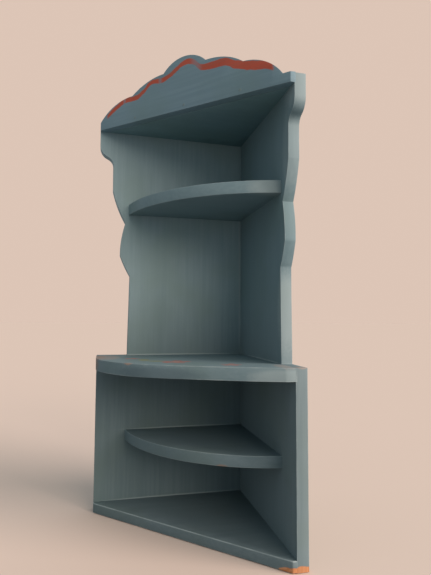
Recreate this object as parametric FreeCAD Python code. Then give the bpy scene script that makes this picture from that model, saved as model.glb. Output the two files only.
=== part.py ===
import FreeCAD, Part
import math
import os

from FreeCAD import Vector

# Small painted corner shelf that hangs where two walls meet.
# Millimetres. The origin is the wall corner at the shelf's underside: +Z is up, the left
# board's back lies on the wall plane y = 0 and the right board's back on the wall plane x = 0.
# The shelves open towards -X and -Y.
# Plan sizes are given as (along, out): along runs from the inner corner down the left board,
# out runs from the inner corner down the right board.

# Side boards
BOARD = 12.0
LOWER_WIDTH = 180.0
SHOULDER_Z = 182.0
WAIST_WIDTH = 144.0
TOP_WIDTH = 181.0

# Side board front edge above the shoulder, as (width, height) of the cusps and turning points
LOWER_CUSP = (142.3, 278.5)
LOWER_LOBE_RISE = (148.9, 290.8)
LOWER_LOBE_CROWN = (154.5, 304.5)
LOWER_LOBE_FALL = (153.3, 324.5)
MIDDLE_CUSP = (148.8, 344.8)
UPPER_LOBE_RISE = (158.3, 364.8)
UPPER_LOBE_CROWN = (164.6, 385.0)
NECK = (164.8, 417.0)
OGEE_HOLLOW = (166.6, 422.4)
OGEE_MIDDLE = (171.6, 426.4)
OGEE_ROUND = (178.6, 432.2)
OGEE_TOP = (181.0, 440.5)

# The top is planed with a slight lean: it rises along the left board and falls along the right one
TOP_CORNER_Z = 465.0
TOP_LEAN = 2.5 / 180.0
TOP_THICK = 10.0

# Bottom board: triangular, tips trimmed flush with the side boards' front edges
BOTTOM_THICK = 11.0
BOTTOM_LAND = 4.0

# Round-fronted shelves: height of the underside, thickness, reach, depth at 45 degrees
MID_Z = 81.0
MID_THICK = 12.0
MID_DEPTH = 135.7
UPPER_Z = 354.5
UPPER_THICK = 13.5
UPPER_DEPTH = 132.7
SMALL_REACH = 145.0
COUNTER_Z = 169.0
COUNTER_THICK = 13.0

# Front of the counter in plan, from the square left end round to the right board
COUNTER_LEFT_LAND = 38.0
COUNTER_SWELL = (163.0, 88.0)
COUNTER_TURN = (124.0, 126.0)
COUNTER_RUN = (66.0, 156.5)
COUNTER_RIGHT_LAND = 8.0

# The crest in front of the top board
CREST_LAND = 4.0
CREST_THICK = 10.0

# Crest outline as (offset from the middle towards the right, height), in order from the left
CREST_OUTLINE = (
    (-125.4, 466.8), (-103.0, 483.2), (-74.4, 488.6),
    (-53.5, 499.0), (-28.5, 502.9),
    (0.0, 515.3), (28.2, 502.9),
    (53.2, 499.0), (73.6, 488.2),
    (97.5, 481.4), (117.2, 463.2),
)
CREST_FAR = 150.0
CREST_LOW_Z = 440.0

# Nails
NAIL_RADIUS = 0.8
NAIL_HEAD_RADIUS = 1.6
NAIL_HEAD_THICK = 1.0
NAIL_LENGTH = 30.0
NAIL_POINT = 2.5
WIDE_NAIL_PLACES = (40.0, 140.0)
SMALL_NAIL_PLACES = (35.0, 110.0)
CORNER_NAIL_HEIGHTS = (40.0, 130.0, 230.0, 320.0, 420.0)
CREST_NAIL_PLACES = (-70.0, 0.0, 70.0)


def plan(along, out, z):
    """Point in space for a plan position measured from the inner corner."""
    return Vector(-BOARD - along, -BOARD - out, z)


def line(a, b):
    return Part.makeLine(a, b)


def arc(a, middle, b):
    return Part.Arc(a, middle, b).toShape()


def extrude(edges, travel):
    return Part.Face(Part.Wire(edges)).extrude(travel)


def top_z(along, out):
    """Height of the leaning top plane."""
    return TOP_CORNER_Z + TOP_LEAN * (along - out)


def side_outline(at, front_top, back_top):
    """Edges of a side board's outline; at(width, height) places each point."""
    edges = []
    edges.append(line(at(-BOARD, 0), at(LOWER_WIDTH, 0)))
    edges.append(line(at(LOWER_WIDTH, 0), at(LOWER_WIDTH, SHOULDER_Z)))
    edges.append(line(at(LOWER_WIDTH, SHOULDER_Z), at(WAIST_WIDTH, SHOULDER_Z)))
    edges.append(line(at(WAIST_WIDTH, SHOULDER_Z), at(*LOWER_CUSP)))
    edges.append(arc(at(*LOWER_CUSP), at(*LOWER_LOBE_RISE), at(*LOWER_LOBE_CROWN)))
    edges.append(arc(at(*LOWER_LOBE_CROWN), at(*LOWER_LOBE_FALL), at(*MIDDLE_CUSP)))
    edges.append(arc(at(*MIDDLE_CUSP), at(*UPPER_LOBE_RISE), at(*UPPER_LOBE_CROWN)))
    edges.append(line(at(*UPPER_LOBE_CROWN), at(*NECK)))
    edges.append(arc(at(*NECK), at(*OGEE_HOLLOW), at(*OGEE_MIDDLE)))
    edges.append(arc(at(*OGEE_MIDDLE), at(*OGEE_ROUND), at(*OGEE_TOP)))
    edges.append(line(at(*OGEE_TOP), at(TOP_WIDTH, front_top)))
    edges.append(line(at(TOP_WIDTH, front_top), at(-BOARD, back_top)))
    edges.append(line(at(-BOARD, back_top), at(-BOARD, 0)))
    return edges


def left_side_board():
    """Laps over the right board's back edge and reaches the wall corner."""
    def at(width, height):
        return Vector(-BOARD - width, 0, height)
    outline = side_outline(at, top_z(TOP_WIDTH, 0), top_z(-BOARD, 0))
    return extrude(outline, Vector(0, -BOARD, 0))


def right_side_board():
    """Same outline, but it stops against the left board."""
    def at(width, height):
        return Vector(0, -BOARD - width, height)
    outline = side_outline(at, top_z(0, TOP_WIDTH), top_z(0, -BOARD))
    board = extrude(outline, Vector(-BOARD, 0, 0))
    lap = Part.makeBox(BOARD, BOARD, 2 * TOP_CORNER_Z, Vector(-BOARD, -BOARD, 0))
    return board.cut(lap)


def between_boards(corners, height, level):
    """Plate whose plan corners stand on the surface given by level(along, out)."""
    points = [plan(along, out, level(along, out)) for along, out in corners]
    points.append(points[0])
    return Part.Face(Part.makePolygon(points)).extrude(Vector(0, 0, height))


def floor_level(along, out):
    return 0.0


def bottom_board():
    tip = (LOWER_WIDTH, BOTTOM_LAND)
    corners = [(0, 0), (LOWER_WIDTH, 0), tip, tip[::-1], (0, LOWER_WIDTH)]
    return between_boards(corners, BOTTOM_THICK, floor_level)


def round_shelf(z, thick, depth):
    """Quarter shelf whose curved front passes depth from the corner on the 45 degree line."""
    half = depth / math.sqrt(2)
    corner = plan(0, 0, z)
    start = plan(SMALL_REACH, 0, z)
    end = plan(0, SMALL_REACH, z)
    edges = [
        line(corner, start),
        arc(start, plan(half, half, z), end),
        line(end, corner),
    ]
    return extrude(edges, Vector(0, 0, thick))


def mid_shelf():
    return round_shelf(MID_Z, MID_THICK, MID_DEPTH)


def counter_shelf():
    """The deepest shelf: its front turns tightly at the left, then runs nearly straight to the right."""
    z = COUNTER_Z
    corner = plan(0, 0, z)
    left_back = plan(LOWER_WIDTH, 0, z)
    left_front = plan(LOWER_WIDTH, COUNTER_LEFT_LAND, z)
    turn = plan(*COUNTER_TURN, z)
    right_front = plan(COUNTER_RIGHT_LAND, LOWER_WIDTH, z)
    right_back = plan(0, LOWER_WIDTH, z)
    edges = [
        line(corner, left_back),
        line(left_back, left_front),
        arc(left_front, plan(*COUNTER_SWELL, z), turn),
        arc(turn, plan(*COUNTER_RUN, z), right_front),
        line(right_front, right_back),
        line(right_back, corner),
    ]
    return extrude(edges, Vector(0, 0, COUNTER_THICK))


def upper_shelf():
    return round_shelf(UPPER_Z, UPPER_THICK, UPPER_DEPTH)


def crest_back():
    """Sum of the plan distances on the crest's back face."""
    return TOP_WIDTH + CREST_LAND - CREST_THICK * math.sqrt(2)


def underside_level(along, out):
    return top_z(along, out) - TOP_THICK


def top_board():
    """Triangle behind the crest, flush with the tops of the side boards."""
    back = crest_back()
    return between_boards([(0, 0), (back, 0), (0, back)], TOP_THICK, underside_level)


def crest_point(offset, z):
    """Point on the crest's front face: offset from its middle towards the right."""
    middle = (TOP_WIDTH + CREST_LAND) / 2
    shift = offset / math.sqrt(2)
    return plan(middle - shift, middle + shift, z)


def crest_outline():
    """Five scallops over a straight band that is longer than the gap it fills."""
    points = [crest_point(*point) for point in CREST_OUTLINE]
    scallops = [arc(points[i], points[i + 1], points[i + 2]) for i in range(0, len(points) - 2, 2)]
    left_shoulder = crest_point(-CREST_FAR, CREST_OUTLINE[0][1])
    right_shoulder = crest_point(CREST_FAR, CREST_OUTLINE[-1][1])
    left_foot = crest_point(-CREST_FAR, CREST_LOW_Z)
    right_foot = crest_point(CREST_FAR, CREST_LOW_Z)
    edges = [line(left_shoulder, points[0])] + scallops
    edges.append(line(points[-1], right_shoulder))
    edges.append(line(right_shoulder, right_foot))
    edges.append(line(right_foot, left_foot))
    edges.append(line(left_foot, left_shoulder))
    return edges


def crest_board():
    """Upright scalloped board, mitred between the side boards and trimmed flush with their fronts."""
    inward = Vector(1, 1, 0).normalize() * CREST_THICK
    slab = extrude(crest_outline(), inward)
    tip = (TOP_WIDTH, CREST_LAND)
    back = crest_back()
    corners = [tip, tip[::-1], (0, TOP_WIDTH), (0, back), (back, 0), (TOP_WIDTH, 0)]
    return slab.common(between_boards(corners, TOP_CORNER_Z, underside_level))


def nail(head, direction):
    """One nail: flat head flush at the point given, shank and a short tapered point."""
    cap = Part.makeCylinder(NAIL_HEAD_RADIUS, NAIL_HEAD_THICK, head, direction)
    shank = Part.makeCylinder(NAIL_RADIUS, NAIL_LENGTH - NAIL_POINT, head, direction)
    tip_start = head + direction * (NAIL_LENGTH - NAIL_POINT)
    tip = Part.makeCone(NAIL_RADIUS, 0, NAIL_POINT, tip_start, direction)
    return cap.fuse([shank, tip]).removeSplitter()


def joint_nails(level, places):
    """Nails through both side boards into the edge of one shelf; level(along, out) is its middle."""
    made = []
    for place in places:
        made.append(nail(plan(place, -BOARD, level(place, 0)), Vector(0, -1, 0)))
        made.append(nail(plan(-BOARD, place, level(0, place)), Vector(-1, 0, 0)))
    return made


def middle_of(z, thick):
    def level(along, out):
        return z + thick / 2
    return level


def top_middle(along, out):
    return top_z(along, out) - TOP_THICK / 2


def nails():
    made = []
    made += joint_nails(middle_of(0, BOTTOM_THICK), WIDE_NAIL_PLACES)
    made += joint_nails(middle_of(MID_Z, MID_THICK), SMALL_NAIL_PLACES)
    made += joint_nails(middle_of(COUNTER_Z, COUNTER_THICK), WIDE_NAIL_PLACES)
    made += joint_nails(middle_of(UPPER_Z, UPPER_THICK), SMALL_NAIL_PLACES)
    made += joint_nails(top_middle, WIDE_NAIL_PLACES)
    for z in CORNER_NAIL_HEIGHTS:
        made.append(nail(Vector(-BOARD / 2, 0, z), Vector(0, -1, 0)))
    inward = Vector(1, 1, 0).normalize()
    for place in CREST_NAIL_PLACES:
        z = TOP_CORNER_Z - TOP_THICK / 2 - TOP_LEAN * math.sqrt(2) * place
        made.append(nail(crest_point(place, z), inward))
    return made


def build():
    made = nails()
    boards = {
        "left_side_board": left_side_board(),
        "right_side_board": right_side_board(),
        "bottom_board": bottom_board(),
        "mid_shelf": mid_shelf(),
        "counter_shelf": counter_shelf(),
        "upper_shelf": upper_shelf(),
        "top_board": top_board(),
        "crest_board": crest_board(),
    }
    parts = {}
    for name, board in boards.items():
        parts[name] = board.cut(made)
    parts["nails"] = Part.makeCompound(made)
    return parts


os.makedirs("parts", exist_ok=True)
for name, shape in build().items():
    shape.exportStep("parts/" + name + ".step")
    box = shape.BoundBox
    print(name, len(shape.Solids), "solids", round(shape.Volume / 1000, 1), "cm3",
          [round(v, 1) for v in (box.XMin, box.XMax, box.YMin, box.YMax, box.ZMin, box.ZMax)])
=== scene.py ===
import math
import bpy
from mathutils import Matrix, Vector


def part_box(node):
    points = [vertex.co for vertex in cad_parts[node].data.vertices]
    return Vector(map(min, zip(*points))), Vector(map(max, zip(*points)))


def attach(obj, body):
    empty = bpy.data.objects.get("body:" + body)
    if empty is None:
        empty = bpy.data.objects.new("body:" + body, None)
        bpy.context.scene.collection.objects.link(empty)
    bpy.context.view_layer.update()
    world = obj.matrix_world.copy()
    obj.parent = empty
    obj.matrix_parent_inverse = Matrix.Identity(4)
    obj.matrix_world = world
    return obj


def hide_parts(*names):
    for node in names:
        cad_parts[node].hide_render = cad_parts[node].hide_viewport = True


# Painted corner shelf. Metres, same frame as the CAD: the walls are x = 0 and y = 0,
# the shelves open towards -X and -Y. "along" runs down the left board from the inner
# corner, "out" runs down the right board.

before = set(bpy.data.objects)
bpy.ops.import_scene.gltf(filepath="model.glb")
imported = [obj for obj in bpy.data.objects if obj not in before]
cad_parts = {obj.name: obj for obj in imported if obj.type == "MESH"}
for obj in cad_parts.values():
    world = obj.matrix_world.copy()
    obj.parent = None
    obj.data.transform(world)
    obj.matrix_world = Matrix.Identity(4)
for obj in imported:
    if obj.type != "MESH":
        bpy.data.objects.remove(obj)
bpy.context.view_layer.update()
print("frame loaded:", ", ".join(sorted(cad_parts)))

mm = 0.001
innerCorner = -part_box("right_side_board")[1].y      # how far the inner corner is from each wall
nailShow = 0.15 * mm     # paint faces sit this far inside the CAD faces, so nail heads show
bedDepth = 1.5           # millimetres that a shelf runs into the side boards
top = {"corner": 465, "lean": 2.5 / 180, "thick": 10}      # the top rises to the left, falls to the right


# --- drawing and finishing ---

def deselectAll():
    if bpy.context.object and bpy.context.object.mode != "OBJECT":
        bpy.ops.object.mode_set(mode="OBJECT")
    bpy.ops.object.select_all(action="DESELECT")


def planPoint(along, out, z):
    return Vector((-innerCorner - along * mm, -innerCorner - out * mm, z * mm))


def topHeight(along, out):
    return top["corner"] + top["lean"] * (along - out)


def arcThrough(start, via, end):
    toVia, toEnd = via - start, end - start
    axis = toVia.cross(toEnd)
    pull = toVia.length_squared * toEnd - toEnd.length_squared * toVia
    centre = start + pull.cross(axis) / (2 * axis.length_squared)
    sweep = (start - centre).angle(via - centre) + (via - centre).angle(end - centre)
    return centre, axis.normalized(), sweep


def drawOutline(name, place, start, moves, arcStep=2.5 * mm):
    deselectAll()
    here = place(*start)
    bpy.ops.mesh.primitive_plane_add(size=mm, location=here)
    piece = bpy.context.object
    piece.name = name
    piece.data.name = name
    bpy.ops.object.mode_set(mode="EDIT")
    bpy.ops.mesh.merge(type="CENTER")
    for move in moves:       # one point is a straight run, two are an arc through the first
        there = place(*move[-1])
        if len(move) == 1:
            bpy.ops.mesh.extrude_region_move(TRANSFORM_OT_translate={"value": there - here})
        else:
            centre, axis, sweep = arcThrough(here, place(*move[0]), there)
            steps = max(4, round(sweep * (here - centre).length / arcStep))
            bpy.ops.mesh.spin(steps=steps, angle=-sweep, center=centre, axis=axis)
        here = there
    bpy.ops.mesh.select_all(action="SELECT")
    bpy.ops.mesh.remove_doubles(threshold=0.02 * mm)
    bpy.ops.mesh.edge_face_add()
    return piece


def thicken(travel):
    bpy.ops.mesh.select_all(action="SELECT")
    bpy.ops.mesh.extrude_region_move(TRANSFORM_OT_translate={"value": travel})
    bpy.ops.mesh.select_all(action="SELECT")
    bpy.ops.mesh.normals_make_consistent(inside=False)


def trimAt(point, outward):        # cuts away what lies past the plane and closes the cut
    bpy.ops.mesh.select_all(action="SELECT")
    bpy.ops.mesh.bisect(plane_co=point, plane_no=outward, use_fill=True, clear_outer=True)


handFinish = {
    "wobble": 0.45 * mm,           # how uneven a planed face is
    "wobbleSize": 0.05,
    "edgeRound": 0.8 * mm,
    "slice": 20 * mm,
    "smoothBelow": math.radians(32),
    "roundAbove": math.radians(35),
}


def sliceUp(piece):       # loops across the faces, so the timber can be a little uneven
    bpy.ops.object.mode_set(mode="OBJECT")
    corners = [piece.matrix_world @ vertex.co for vertex in piece.data.vertices]
    bpy.ops.object.mode_set(mode="EDIT")
    for axis in range(3):
        low = min(corner[axis] for corner in corners)
        high = max(corner[axis] for corner in corners)
        count = int((high - low) / handFinish["slice"])
        normal = [0, 0, 0]
        normal[axis] = 1
        for i in range(1, count):
            point = [0, 0, 0]
            point[axis] = low + (high - low) * i / count
            bpy.ops.mesh.select_all(action="SELECT")
            bpy.ops.mesh.bisect(plane_co=point, plane_no=normal)
    bpy.ops.mesh.select_all(action="SELECT")
    bpy.ops.mesh.remove_doubles(threshold=0.05 * mm)


unevenness = bpy.data.textures.new("planedUnevenness", "CLOUDS")
unevenness.noise_scale = handFinish["wobbleSize"]
unevenness.noise_depth = 1


def applyModifier(piece, kind, **settings):
    modifier = piece.modifiers.new(kind.lower(), kind)
    for key, value in settings.items():
        setattr(modifier, key, value)
    bpy.context.view_layer.objects.active = piece
    bpy.ops.object.modifier_apply(modifier=modifier.name)


def handPlane(piece):
    bpy.ops.object.mode_set(mode="OBJECT")
    applyModifier(piece, "DISPLACE", texture=unevenness, texture_coords="GLOBAL",
                  mid_level=1, strength=handFinish["wobble"])
    applyModifier(piece, "BEVEL", width=handFinish["edgeRound"], segments=3, limit_method="ANGLE",
                  angle_limit=handFinish["roundAbove"], miter_outer="MITER_ARC", use_clamp_overlap=True)


def finishPiece(piece, material, slot, *nodes):
    deselectAll()
    piece.select_set(True)
    bpy.context.view_layer.objects.active = piece
    bpy.ops.object.transform_apply(location=True, rotation=True, scale=True)
    bpy.ops.object.shade_smooth_by_angle(angle=handFinish["smoothBelow"])
    piece.data.materials.clear()
    piece.data.materials.append(material)
    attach(piece, "root")
    if nodes:
        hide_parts(*nodes)
    print("made", piece.name, len(piece.data.polygons), "faces")


# --- paint ---

def addNode(tree, kind, inputs=(), **settings):
    node = tree.nodes.new(kind)
    for key, value in settings.items():
        setattr(node, key, value)
    for key, value in dict(inputs).items():
        if isinstance(value, bpy.types.NodeSocket):
            tree.links.new(value, node.inputs[key])
        else:
            node.inputs[key].default_value = value
    return node


def calc(tree, operation, a, b=0.0, c=0.0):
    node = addNode(tree, "ShaderNodeMath", operation=operation)
    for i, value in enumerate((a, b, c)):
        if isinstance(value, bpy.types.NodeSocket):
            tree.links.new(value, node.inputs[i])
        else:
            node.inputs[i].default_value = value
    return node.outputs[0]


def ramp(tree, value, low, high, toLow=0.0, toHigh=1.0):
    inputs = {"Value": value, "From Min": low, "From Max": high, "To Min": toLow, "To Max": toHigh}
    return addNode(tree, "ShaderNodeMapRange", inputs, interpolation_type="SMOOTHSTEP").outputs[0]


def blend(tree, factor, a, b, mode="MIX"):
    node = addNode(tree, "ShaderNodeMix", {0: factor}, data_type="RGBA", blend_type=mode)
    for i, value in ((6, a), (7, b)):
        if isinstance(value, bpy.types.NodeSocket):
            tree.links.new(value, node.inputs[i])
        else:
            node.inputs[i].default_value = (*value, 1)
    return node.outputs[2]


def noise(tree, vector, scale, detail=2.0, roughness=0.5):
    inputs = {"Vector": vector, "Scale": scale, "Detail": detail, "Roughness": roughness}
    return addNode(tree, "ShaderNodeTexNoise", inputs).outputs[0]


paintLook = {
    "light": (0.162, 0.252, 0.280),
    "deep": (0.137, 0.222, 0.250),
    "green": (0.136, 0.218, 0.222),
    # pale paint for rubbed wear, also used as painted highlight
    "rubbed": (0.33, 0.43, 0.44),
    "leaf": (0.190, 0.225, 0.120),
    "tan": (0.330, 0.270, 0.225),
    "bareWood": (0.540, 0.285, 0.150),
    "woodGrain": (0.460, 0.205, 0.085),
    "stain": (0.230, 0.185, 0.150),
    "red": (0.440, 0.095, 0.058),
    "redThin": (0.360, 0.110, 0.075),
    # painted shade colour
    "shade": (0.080, 0.130, 0.155),
    "roughLow": 0.56,
    "roughHigh": 0.7,
    "gloss": 0.2,
    "streakFine": 300,        # brush marks per metre across the stroke
    "streakLong": 11,         # and along it
    "reliefStrength": 0.4,
    "reliefDepth": 0.12 * mm,
    "edgeReach": 2.0 * mm,
    "castAndPaintedLightHeights": (0.15, 0.29),      # a two-part cast, partly painted light, changes over between these
    "markSoft": 0.35,         # how gradually a mark ends
    "bareSoft": 0.08,         # and a bare patch
}


def spotMask(tree, position, spot, soft):      # a spot: centre and reach in millimetres, raggedness
    centre, reach, ragged = spot
    inputs = {0: position, 1: [c * mm for c in centre]}
    away = addNode(tree, "ShaderNodeVectorMath", inputs, operation="SUBTRACT").outputs[0]
    inputs = {0: away, 1: [1 / (r * mm) for r in reach]}
    scaled = addNode(tree, "ShaderNodeVectorMath", inputs, operation="MULTIPLY").outputs[0]
    length = addNode(tree, "ShaderNodeVectorMath", {0: scaled}, operation="LENGTH").outputs["Value"]
    rough = noise(tree, position, 420, 3)
    bent = calc(tree, "MULTIPLY_ADD", rough, ragged, length)
    return ramp(tree, bent, 1 + 0.5 * ragged + soft, 1 + 0.5 * ragged - soft)


def paintedWood(name, strokes="z", edgeWearAndHighlight=0.6, arrisHighlight=0.0, bare=(), marks=(), tintAndPaintedLight=None, decorate=None):
    material = bpy.data.materials.new(name)
    material.use_nodes = True
    tree = material.node_tree
    shader = tree.nodes["Principled BSDF"]
    position = addNode(tree, "ShaderNodeTexCoord").outputs["Object"]
    stretch = [paintLook["streakFine"]] * 3
    turn = 0
    if strokes == "diagonal":
        stretch[0] = paintLook["streakLong"]
        turn = math.radians(45)
    else:
        stretch["xyz".index(strokes)] = paintLook["streakLong"]
    turned = addNode(tree, "ShaderNodeMapping", {"Vector": position, "Rotation": (0, 0, turn)}).outputs[0]
    inputs = {"Vector": turned, "Scale": stretch}
    strokeSpace = addNode(tree, "ShaderNodeMapping", inputs).outputs[0]
    streaks = noise(tree, strokeSpace, 1.0, 4, 0.55)
    broad = noise(tree, strokeSpace, 0.16, 2)
    patches = noise(tree, position, 13, 3)
    specks = noise(tree, position, 900, 2)

    colour = blend(tree, ramp(tree, streaks, 0.34, 0.68), paintLook["deep"], paintLook["light"])
    colour = blend(tree, ramp(tree, broad, 0.35, 0.70, 0.0, 0.45), colour, paintLook["light"])
    colour = blend(tree, ramp(tree, patches, 0.42, 0.70, 0.0, 0.7), colour, paintLook["green"])
    if tintAndPaintedLight:               # a colour cast per piece, partly the paint's own tone and partly painted light and shade for how the lamps fall: one cast, or two with the first one low down
        height = addNode(tree, "ShaderNodeSeparateXYZ", {0: position}).outputs[2]
        castAndPaintedLight = blend(tree, ramp(tree, height, *paintLook["castAndPaintedLightHeights"]), tintAndPaintedLight[0], tintAndPaintedLight[-1])
        colour = blend(tree, 1.0, colour, castAndPaintedLight, "MULTIPLY")
    if decorate:
        colour = decorate(tree, position, strokeSpace, colour)

    # lighter paint along the edges: partly rubbed wear, partly a painted highlight on the rounded edges
    trueNormal = addNode(tree, "ShaderNodeNewGeometry").outputs["Normal"]
    rounded = addNode(tree, "ShaderNodeBevel", {"Radius": paintLook["edgeReach"]}, samples=6).outputs[0]
    facing = addNode(tree, "ShaderNodeVectorMath", {0: rounded, 1: trueNormal}, operation="DOT_PRODUCT")
    edge = ramp(tree, facing.outputs["Value"], 0.985, 0.86)
    rub = ramp(tree, noise(tree, position, 75, 3), 0.38, 0.66, 0.25, 1.0)
    rubbed = calc(tree, "MULTIPLY", calc(tree, "MULTIPLY", edge, rub), edgeWearAndHighlight)
    if arrisHighlight:              # painted highlight: a light line along the rounded top and bottom edges of a shelf
        steep = calc(tree, "ABSOLUTE", addNode(tree, "ShaderNodeSeparateXYZ", {0: trueNormal}).outputs[2])
        paintedArrisLine = calc(tree, "MULTIPLY", ramp(tree, steep, 0.10, 0.30), ramp(tree, steep, 0.99, 0.93))
        paintedArrisLine = calc(tree, "MULTIPLY", paintedArrisLine, ramp(tree, rub, 0.2, 1.0, 0.6 * arrisHighlight, arrisHighlight))
        rubbed = calc(tree, "MAXIMUM", rubbed, paintedArrisLine)
    colour = blend(tree, rubbed, colour, paintLook["rubbed"])
    for *spot, tone, strength in marks:
        mask = calc(tree, "MULTIPLY", spotMask(tree, position, spot, paintLook["markSoft"]), strength)
        colour = blend(tree, mask, colour, paintLook[tone])
    bareness = None
    for spot in bare:
        mask = spotMask(tree, position, spot, paintLook["bareSoft"])
        bareness = mask if bareness is None else calc(tree, "MAXIMUM", bareness, mask)
    if bareness is not None:
        grain = ramp(tree, streaks, 0.40, 0.62)
        timber = blend(tree, grain, paintLook["woodGrain"], paintLook["bareWood"])
        colour = blend(tree, bareness, colour, timber)
    tree.links.new(colour, shader.inputs["Base Color"])

    sheen = ramp(tree, streaks, 0.3, 0.7, paintLook["roughLow"], paintLook["roughHigh"])
    if bareness is not None:
        sheen = calc(tree, "MULTIPLY_ADD", bareness, 0.35, sheen)
    tree.links.new(sheen, shader.inputs["Roughness"])
    shader.inputs["Specular IOR Level"].default_value = paintLook["gloss"]

    height = calc(tree, "MULTIPLY_ADD", specks, 0.25, streaks)
    if bareness is not None:
        height = calc(tree, "MULTIPLY_ADD", bareness, -1.2, height)
    inputs = {"Height": height, "Strength": paintLook["reliefStrength"], "Distance": paintLook["reliefDepth"]}
    bump = addNode(tree, "ShaderNodeBump", inputs).outputs[0]
    tree.links.new(bump, shader.inputs["Normal"])
    return material


# --- side boards ---

sideBoard = {
    "frontEdge": [
        [(180, 0)], [(180, 182)], [(144, 182)], [(142.3, 278.5)],
        [(148.9, 290.8), (154.5, 304.5)], [(153.3, 324.5), (148.8, 344.8)],
        [(158.3, 364.8), (164.6, 385)], [(164.8, 417)],
        [(166.6, 422.4), (171.6, 426.4)], [(178.6, 432.2), (181, 440.5)],
    ],
    "topWidth": 181,
    "lap": 12,
}


def makeSideBoard(name, place, travel, frontTop, backTop, lap, material):
    rest = [[(sideBoard["topWidth"], frontTop)], [(-lap, backTop)], [(-lap, 0)]]
    piece = drawOutline(name, place, (-lap, 0), sideBoard["frontEdge"] + rest)
    thicken(travel)
    sliceUp(piece)
    handPlane(piece)
    finishPiece(piece, material, "blue_paint", name)


def leftPlace(width, height):
    return Vector((-innerCorner - width * mm, -nailShow, height * mm))


def rightPlace(width, height):
    return Vector((-nailShow, -innerCorner - width * mm, height * mm))


leftMarks = [      # pale lines along the joints
    ((-92, -12, 11.4), (80, 2, 1.0), 0.35, "rubbed", 0.6),
    ((-86, -12, 93.4), (66, 2, 0.9), 0.35, "rubbed", 0.6),
    ((-92, -12, 182.5), (78, 2, 1.0), 0.35, "rubbed", 0.6),
    ((-13, -12, 268), (1.0, 2, 80), 0.3, "rubbed", 0.35),
]
rightMarks = [
    ((-12, -100, 182.4), (2, 60, 0.9), 0.35, "rubbed", 0.5),
    ((-12, -178, 186), (2, 16, 5), 0.6, "rubbed", 0.4),
    ((-5, -188, 183), (6, 9, 2.5), 0.6, "tan", 0.55),
    ((-6, -188, 452), (12, 22, 20), 0.5, "rubbed", 0.4),      # painted highlight: lengths of the front edge painted lighter where it faces the lamp
    ((-6, -172, 395), (12, 12, 40), 0.5, "rubbed", 0.25),
    ((-6, -157, 236), (12, 12, 40), 0.5, "rubbed", 0.35),
    ((-11.5, -192.4, 310), (1.6, 2, 2.4), 0.5, "stain", 0.75),
]
rightBare = [((-7, -192, -0.5), (12, 5, 6.2), 0.25)]       # the foot, worn down to the timber
# painted light: the left board's upper part is tinted far brighter than its foot
leftPaint = paintedWood("leftBoardPaint", "z", 0.5, marks=leftMarks,
                        tintAndPaintedLight=[(0.90, 0.87, 0.85), (1.72, 1.64, 1.61)])
rightPaint = paintedWood("rightBoardPaint", "z", 0.5, bare=rightBare, marks=rightMarks,
                         tintAndPaintedLight=[(1.0, 0.93, 0.91), (0.95, 1.0, 1.02)])
faceTravel = innerCorner - nailShow
frontWidth, lap = sideBoard["topWidth"], sideBoard["lap"]
makeSideBoard("left_side_board", leftPlace, Vector((0, -faceTravel, 0)),
              topHeight(frontWidth, 0), topHeight(-lap, 0), lap, leftPaint)
makeSideBoard("right_side_board", rightPlace, Vector((-faceTravel, 0, 0)),
              topHeight(0, frontWidth), topHeight(0, 0), 0, rightPaint)


# --- shelves ---

shelves = {         # height, thickness, which nails hold it, and the front from its left end to its right end
    "mid_shelf": {"z": 81, "thick": 12, "nails": "small", "front": [[(145, 0)], [(95.95, 95.95), (0, 145)]]},
    "counter_shelf": {"z": 169, "thick": 13, "nails": "wide", "front": [
        [(180, 0)], [(180, 38)], [(163, 88), (124, 126)], [(66, 156.5), (8, 180)], [(0, 180)]]},
    "upper_shelf": {"z": 354.5, "thick": 13.5, "nails": "small", "front": [
        [(145, 0)], [(93.8, 93.8), (0, 145)]]},
}


counterFlowers = {
    "places": [      # along, out, radius and radius of the heart
        (99, 97, 17, 4.5), (50, 138, 11, 3), (141, 50, 9, 2.5),
    ],
    "petals": 5,
    "notch": 0.45,         # how far the rim dips between petals, as a part of the radius
    "unsteady": 3 * mm,    # how much the brush wandered
}


def flowerMask(tree, position, along, out, size, heartSize):
    across = addNode(tree, "ShaderNodeSeparateXYZ", {0: position})
    x = calc(tree, "ADD", across.outputs[0], innerCorner + along * mm)
    y = calc(tree, "ADD", across.outputs[1], innerCorner + out * mm)
    squares = calc(tree, "MULTIPLY_ADD", x, x, calc(tree, "MULTIPLY", y, y))
    radius = calc(tree, "SQRT", squares)
    angle = calc(tree, "ARCTAN2", y, x)
    wave = calc(tree, "COSINE", calc(tree, "MULTIPLY", angle, counterFlowers["petals"] / 2))
    wave = calc(tree, "ABSOLUTE", wave)
    notch, unsteady = counterFlowers["notch"], counterFlowers["unsteady"]
    rim = calc(tree, "MULTIPLY_ADD", wave, notch * size * mm, (1 - notch) * size * mm - unsteady / 2)
    rim = calc(tree, "MULTIPLY_ADD", noise(tree, position, 260, 3), unsteady, rim)
    petals = ramp(tree, calc(tree, "SUBTRACT", rim, radius), -0.2 * mm, 0.5 * mm)
    heart = ramp(tree, calc(tree, "SUBTRACT", heartSize * mm, radius), -0.3 * mm, 0.4 * mm)
    return petals, heart


def paintFlowers(tree, position, strokeSpace, colour):
    thin = ramp(tree, noise(tree, strokeSpace, 0.8, 3), 0.35, 0.7)
    red = blend(tree, thin, paintLook["red"], paintLook["redThin"])
    height = addNode(tree, "ShaderNodeSeparateXYZ", {0: position}).outputs[2]
    onTop = ramp(tree, height, 180.8 * mm, 181.2 * mm)
    thinned = ramp(tree, noise(tree, position, 160, 3), 0.35, 0.62, 0.25, 0.6)
    worn = calc(tree, "MULTIPLY", onTop, thinned)
    for place in counterFlowers["places"]:
        petals, heart = flowerMask(tree, position, *place)
        colour = blend(tree, calc(tree, "MULTIPLY", petals, worn), colour, red)
        colour = blend(tree, calc(tree, "MULTIPLY", heart, worn), colour, paintLook["tan"])
    return colour


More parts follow.
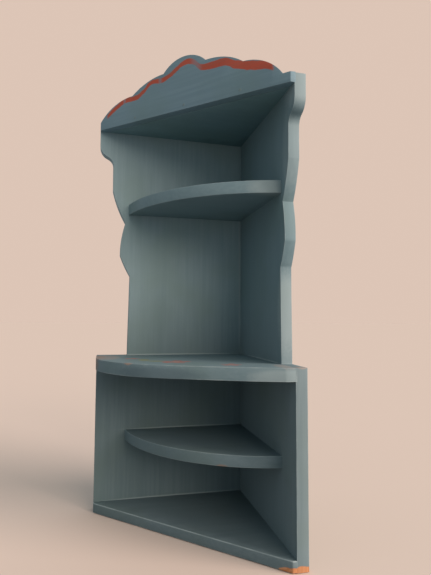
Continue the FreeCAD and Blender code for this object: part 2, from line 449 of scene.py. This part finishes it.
def makeShelf(name, material):
    shelf = shelves[name]

    def place(along, out):
        return planPoint(along, out, shelf["z"])

    leftEnd, rightEnd = shelf["front"][0][-1], shelf["front"][-1][-1]
    moves = [[(leftEnd[0], -bedDepth)], *shelf["front"]]
    moves += [[(-bedDepth, rightEnd[1])], [(-bedDepth, -bedDepth)]]
    piece = drawOutline(name, place, (-bedDepth, -bedDepth), moves)
    thicken(Vector((0, 0, shelf["thick"] * mm)))
    sliceUp(piece)
    handPlane(piece)
    finishPiece(piece, material, "blue_paint", name)


midMarks = [((-68, -138, 81), (5, 5, 2), 0.7, "stain", 0.8)]
counterMarks = [
    ((-190, -38, 177), (9, 26, 12), 0.8, "stain", 0.8),       # browner at its left end
    # painted reflection of a warm wall, pale tan on the top of its left end
    ((-182, -42, 182), (16, 30, 2), 0.5, "tan", 0.45),
    ((-141, -82, 182), (6, 12, 1), 0.9, "leaf", 0.8),         # leaves between the flowers
    ((-130, -98, 182), (8, 6, 1), 0.9, "leaf", 0.8),
    ((-16, -176, 182), (9, 18, 3), 0.9, "tan", 0.35),         # painted highlight in pale tan on its right end
    ((-161, -119, 182), (5, 5, 2), 0.9, "tan", 0.9),
    ((-24, -187, 173), (28, 40, 7), 0.4, "rubbed", 0.38),     # painted light on the front edge near its right end, where it faces the lamp
    # painted shade across the middle of the front edge
    ((-122, -128, 173), (48, 40, 7), 0.4, "shade", 0.6),
]
upperMarks = [((-22, -157, 361), (26, 20, 9), 0.4, "rubbed", 0.4)]
# painted light and shade: the mid shelf and counter tinted darker, the upper shelf lighter
midPaint = paintedWood("midShelfPaint", "x", 0.6, 0.35, marks=midMarks, tintAndPaintedLight=[(0.88, 0.86, 0.87)])
counterPaint = paintedWood("counterPaint", "x", 0.9, 0.95, marks=counterMarks, tintAndPaintedLight=[(0.95, 0.95, 0.95)],
                           decorate=paintFlowers)
upperPaint = paintedWood("upperShelfPaint", "x", 0.5, 0.25, marks=upperMarks, tintAndPaintedLight=[(1.10, 1.12, 1.13)])
makeShelf("mid_shelf", midPaint)
makeShelf("counter_shelf", counterPaint)
makeShelf("upper_shelf", upperPaint)


# --- bottom and top boards ---

bottomBoard = {"thick": 11, "reach": 180, "land": 4}
topReach = 171.5           # the top board stops short, behind the crest


def bottomPlace(along, out):
    return planPoint(along, out, 0)


def topPlace(along, out):
    return planPoint(along, out, topHeight(along, out) - top["thick"])


reach, land = bottomBoard["reach"], bottomBoard["land"]
bottom = drawOutline("bottom_board", bottomPlace, (-bedDepth, -bedDepth),
                     [[(reach, -bedDepth)], [(reach, land)], [(land, reach)],
                      [(-bedDepth, reach)], [(-bedDepth, -bedDepth)]])
thicken(Vector((0, 0, bottomBoard["thick"] * mm)))
sliceUp(bottom)
handPlane(bottom)
# painted shade: the bottom board is tinted darker and warmer
bottomPaint = paintedWood("bottomBoardPaint", "x", 0.7, 0.7, tintAndPaintedLight=[(0.90, 0.84, 0.82)],
                          bare=[((-11, -190, -1), (20, 14, 6), 0.3)])
finishPiece(bottom, bottomPaint, "blue_paint", "bottom_board")

topBoard = drawOutline("top_board", topPlace, (-bedDepth, -bedDepth),
                       [[(topReach, -bedDepth)], [(-bedDepth, topReach)], [(-bedDepth, -bedDepth)]])
thicken(Vector((0, 0, top["thick"] * mm)))
sliceUp(topBoard)
handPlane(topBoard)
# painted light: the top board is tinted lighter and bluer
topPaint = paintedWood("topBoardPaint", "x", 0.4, tintAndPaintedLight=[(1.02, 1.17, 1.18)])
finishPiece(topBoard, topPaint, "blue_paint", "top_board")


# --- crest ---

inward = Vector((1, 1, 0)).normalized()      # from the front of the crest to the corner of the walls

crest = {
    "thick": 10,
    "frontSum": 185,          # along + out on its front face
    "run": 140,               # half its length before its ends are trimmed
    "scallops": [             # from left to right, each starting where the last one ended
        [(-125.4, 466.8)], [(-103, 483.2), (-74.4, 488.6)], [(-53.5, 499), (-28.5, 502.9)],
        [(0, 515.3), (28.2, 502.9)], [(53.2, 499), (73.6, 488.2)], [(97.5, 481.4), (117.2, 463.2)],
    ],
}

redLine = {
    "path": [(-114, 472), (-99, 480.3), (-85, 485.6), (-68, 485.2), (-58, 488.8), (-44, 497.3), (-31, 496),
             (-22, 497.6), (-10, 503), (2, 507.8), (10, 506.5), (25, 495.2), (37, 494.5), (50, 494),
             (65, 487), (84, 480.6), (98, 476.9), (107, 473.5)],
    "low": 460,            # the height that its curve is measured from, and the curve's span
    "span": 60,
    "halfHeight": (2.7, 4.6),      # at its left and right ends
    "gaps": [(-86.5, 1.6), (16, 5), (-33, 2)],      # where the brush ran dry: offset and half width
}


def crestPoint(offset, z):
    middle = crest["frontSum"] / 2
    return planPoint(middle - offset / math.sqrt(2), middle + offset / math.sqrt(2), z)


def crestFoot(offset):       # its lower edge follows the underside of the top board
    return topHeight(-offset / math.sqrt(2), offset / math.sqrt(2)) - top["thick"]


def strokeHeight(tree, offset):         # height of the painted line's middle at each offset
    path, low, span = redLine["path"], redLine["low"], redLine["span"]
    left, right = path[0][0], path[-1][0]
    inputs = {"Value": offset, "From Min": left, "From Max": right}
    along = addNode(tree, "ShaderNodeMapRange", inputs).outputs[0]
    curve = addNode(tree, "ShaderNodeFloatCurve", {"Value": along})
    points = curve.mapping.curves[0].points
    points[0].location = (0, (path[0][1] - low) / span)
    points[1].location = (1, (path[-1][1] - low) / span)
    for offsetHere, z in path[1:-1]:
        points.new((offsetHere - left) / (right - left), (z - low) / span)
    curve.mapping.update()
    return calc(tree, "MULTIPLY_ADD", curve.outputs[0], span, low)


def paintRedLine(tree, position, strokeSpace, colour):
    x, y, z = addNode(tree, "ShaderNodeSeparateXYZ", {0: position}).outputs
    offset = calc(tree, "DIVIDE", calc(tree, "SUBTRACT", x, y), math.sqrt(2) * mm)
    wander = calc(tree, "MULTIPLY_ADD", noise(tree, position, 90, 2), 2.4, -1.2)
    away = calc(tree, "SUBTRACT", calc(tree, "DIVIDE", z, mm), strokeHeight(tree, offset))
    away = calc(tree, "ABSOLUTE", calc(tree, "ADD", away, wander))
    half = ramp(tree, offset, -20, 75, *redLine["halfHeight"])
    ragged = calc(tree, "MULTIPLY_ADD", noise(tree, strokeSpace, 1.6, 3), 1.8, -0.9)
    mask = ramp(tree, calc(tree, "SUBTRACT", calc(tree, "ADD", half, ragged), away), -0.5, 0.6)
    left, right = redLine["path"][0][0], redLine["path"][-1][0]
    loose = calc(tree, "ADD", offset, calc(tree, "MULTIPLY", ragged, 1.5))
    mask = calc(tree, "MULTIPLY", mask, ramp(tree, loose, left - 2, left + 2))
    mask = calc(tree, "MULTIPLY", mask, ramp(tree, loose, right + 2, right - 2))
    for centre, reach in redLine["gaps"]:
        gap = calc(tree, "ABSOLUTE", calc(tree, "SUBTRACT", offset, centre))
        mask = calc(tree, "MULTIPLY", mask, ramp(tree, gap, 0, reach * 2, 0.45, 1.0))
    normal = addNode(tree, "ShaderNodeNewGeometry").outputs["Normal"]
    inputs = {0: normal, 1: -inward}
    facing = addNode(tree, "ShaderNodeVectorMath", inputs, operation="DOT_PRODUCT")
    mask = calc(tree, "MULTIPLY", mask, ramp(tree, facing.outputs["Value"], 0.80, 0.92))
    thin = ramp(tree, noise(tree, strokeSpace, 0.9, 3), 0.40, 0.75)
    red = blend(tree, thin, paintLook["red"], paintLook["redThin"])
    return blend(tree, mask, colour, red)


run = crest["run"]
firstScallop, lastScallop = crest["scallops"][0], crest["scallops"][-1]
moves = [[(-run, firstScallop[0][1])]] + crest["scallops"]
moves += [[(run, lastScallop[-1][1])], [(run, crestFoot(run))], [(-run, crestFoot(-run))]]
crestPiece = drawOutline("crest_board", crestPoint, (-run, crestFoot(-run)), moves)
thicken(inward * crest["thick"] * mm)
trimAt(planPoint(frontWidth, 0, 0), Vector((-1, 0, 0)))
trimAt(planPoint(0, frontWidth, 0), Vector((0, -1, 0)))
trimAt(planPoint(-bedDepth, 0, 0), Vector((1, 0, 0)))
trimAt(planPoint(0, -bedDepth, 0), Vector((0, 1, 0)))
sliceUp(crestPiece)
handPlane(crestPiece)
# painted light: the crest is tinted lighter and bluer
crestPaint = paintedWood("crestPaint", "diagonal", 0.15, tintAndPaintedLight=[(1.13, 1.20, 1.30)], decorate=paintRedLine)
finishPiece(crestPiece, crestPaint, "blue_paint", "crest_board")


# --- nails ---

nail = {
    "radius": 0.8 * mm, "head": 1.6 * mm, "headThick": 1.0 * mm, "length": 30 * mm, "point": 2.5 * mm,
    "wide": (40, 140), "small": (35, 110),       # places along and out, for deep and for small shelves
    "corner": (40, 130, 230, 320, 420),          # heights
    "crest": (-70, 0, 70),                       # offsets from its middle
}


def makeNail():            # one nail along +Z from its head at the origin
    deselectAll()
    shank = nail["length"] - nail["point"] - nail["headThick"]
    bpy.ops.mesh.primitive_cylinder_add(vertices=12, radius=nail["radius"], depth=shank,
                                        location=(0, 0, nail["headThick"] + shank / 2))
    piece = bpy.context.object
    bpy.ops.object.mode_set(mode="EDIT")

    def pickEnd(side):
        bpy.ops.mesh.select_all(action="DESELECT")
        bpy.ops.object.mode_set(mode="OBJECT")
        for face in piece.data.polygons:
            face.select = face.normal.z * side > 0.9
        bpy.ops.object.mode_set(mode="EDIT")
        bpy.ops.mesh.select_mode(type="FACE")

    pickEnd(1)
    bpy.ops.mesh.extrude_region_move(TRANSFORM_OT_translate={"value": (0, 0, nail["point"])})
    bpy.ops.transform.resize(value=(0.12, 0.12, 1), center_override=(0, 0, nail["length"]))
    pickEnd(-1)
    grow = nail["head"] / nail["radius"]
    bpy.ops.mesh.extrude_region_move(TRANSFORM_OT_translate={"value": (0, 0, 0)})
    bpy.ops.transform.resize(value=(grow, grow, 1), center_override=(0, 0, nail["headThick"]))
    bpy.ops.mesh.extrude_region_move(TRANSFORM_OT_translate={"value": (0, 0, -nail["headThick"] * 0.8)})
    bpy.ops.mesh.extrude_region_move(TRANSFORM_OT_translate={"value": (0, 0, -nail["headThick"] * 0.2)})
    bpy.ops.transform.resize(value=(0.8, 0.8, 1), center_override=(0, 0, 0))
    bpy.ops.object.mode_set(mode="OBJECT")
    bpy.ops.object.transform_apply(location=True)
    return piece


def nailPlaces():
    places = []

    def throughSides(level, spots):        # level gives the height of the shelf's middle
        for spot in spots:
            left, right = planPoint(spot, 0, level(spot, 0)), planPoint(0, spot, level(0, spot))
            places.append((Vector((left.x, 0, left.z)), Vector((0, -1, 0))))
            places.append((Vector((0, right.y, right.z)), Vector((-1, 0, 0))))

    throughSides(lambda along, out: bottomBoard["thick"] / 2, nail["wide"])
    for shelf in shelves.values():
        middle = shelf["z"] + shelf["thick"] / 2
        throughSides(lambda along, out: middle, nail[shelf["nails"]])
    throughSides(lambda along, out: topHeight(along, out) - top["thick"] / 2, nail["wide"])
    for z in nail["corner"]:
        places.append((Vector((-innerCorner / 2, 0, z * mm)), Vector((0, -1, 0))))
    for spot in nail["crest"]:
        places.append((crestPoint(spot, crestFoot(spot) + top["thick"] / 2), inward))
    return places


pattern = makeNail()
nails = []
for point, direction in nailPlaces():
    copy = pattern.copy()
    copy.data = pattern.data.copy()
    bpy.context.scene.collection.objects.link(copy)
    copy.rotation_mode = "QUATERNION"
    copy.rotation_quaternion = direction.to_track_quat("Z", "Y")
    copy.location = point
    nails.append(copy)
bpy.data.objects.remove(pattern)
deselectAll()
for copy in nails:
    copy.select_set(True)
bpy.context.view_layer.objects.active = nails[0]
bpy.ops.object.join()
nailPiece = bpy.context.object
nailPiece.name = "nails"
finishPiece(nailPiece, paintedWood("nailHeadPaint", "z", 0.3), "nail_steel", "nails")


# --- floor, light, camera ---

studio = {
    "floorColour": (0.69, 0.62, 0.545),
    "floorBounce": (0.30, 0.30, 0.30),        # what the shelf itself sees of the floor
    "backdropColour": (0.72, 0.56, 0.47),
    "fillColour": (0.447, 0.45, 0.465),
    "suns": [                     # side and height for one unit forward, angle, strength, colour
        (1.3, 0.6, 35, 4.42, (1.0, 0.767, 0.681)),
        (0.35, 0.4, 28, 0.99, (1.0, 0.754, 0.608)),
    ],
}

deselectAll()
bpy.ops.mesh.primitive_plane_add(size=60, location=(0, 0, -0.5 * mm))
floor = bpy.context.object
floor.name = "floor"
floorMaterial = bpy.data.materials.new("paleFloor")
floorMaterial.use_nodes = True
tree = floorMaterial.node_tree
floorShader = tree.nodes["Principled BSDF"]
cameraRay = addNode(tree, "ShaderNodeLightPath").outputs["Is Camera Ray"]
floorTone = blend(tree, cameraRay, studio["floorBounce"], studio["floorColour"])
tree.links.new(floorTone, floorShader.inputs["Base Color"])
floorShader.inputs["Roughness"].default_value = 0.9
floorShader.inputs["Specular IOR Level"].default_value = 0.0
floor.data.materials.append(floorMaterial)

world = bpy.data.worlds.new("softRoom")
bpy.context.scene.world = world
world.use_nodes = True
sky = world.node_tree
sky.nodes.clear()
seen = addNode(sky, "ShaderNodeLightPath").outputs["Is Camera Ray"]
fill = addNode(sky, "ShaderNodeBackground", {"Color": (*studio["fillColour"], 1), "Strength": 1.0})
backdrop = addNode(sky, "ShaderNodeBackground", {"Color": (*studio["backdropColour"], 1), "Strength": 1.0})
either = addNode(sky, "ShaderNodeMixShader", {0: seen, 1: fill.outputs[0], 2: backdrop.outputs[0]})
addNode(sky, "ShaderNodeOutputWorld", {0: either.outputs[0]})


def addSun(name, place, angle, strength, colour):
    data = bpy.data.lights.new(name, "SUN")
    data.energy = strength
    data.color = colour
    data.angle = math.radians(angle)
    sun = bpy.data.objects.new(name, data)
    bpy.context.scene.collection.objects.link(sun)
    sun.location = place
    sun.rotation_euler = (-place).to_track_quat("-Z", "Y").to_euler()


for i, (side, rise, angle, strength, colour) in enumerate(studio["suns"]):
    addSun("sun" + str(i), Vector((side, -1, rise)), angle, strength, colour)
print("floor and lights ready")

view = {
    "place": (-0.1848, -0.5974, 0.2259), "yaw": 13.3986, "pitch": 3.8973, "roll": 0.3136,
    "lens": 29.363, "sensor": 36, "near": 0.01,
}
yaw, pitch, roll = (math.radians(view[k]) for k in ("yaw", "pitch", "roll"))
ahead = Vector((math.sin(yaw) * math.cos(pitch), math.cos(yaw) * math.cos(pitch), math.sin(pitch)))
right = Vector((math.cos(yaw), -math.sin(yaw), 0))
up = right.cross(ahead)
right, up = right * math.cos(roll) + up * math.sin(roll), up * math.cos(roll) - right * math.sin(roll)
cameraData = bpy.data.cameras.new("camera")
cameraData.lens = view["lens"]
cameraData.sensor_width = view["sensor"]
camera = bpy.data.objects.new("camera", cameraData)
bpy.context.scene.collection.objects.link(camera)
camera.matrix_world = Matrix.Translation(view["place"]) @ Matrix((right, up, -ahead)).transposed().to_4x4()
cameraData.clip_start = view["near"]
bpy.context.scene.camera = camera
bpy.context.scene.view_settings.view_transform = "Standard"
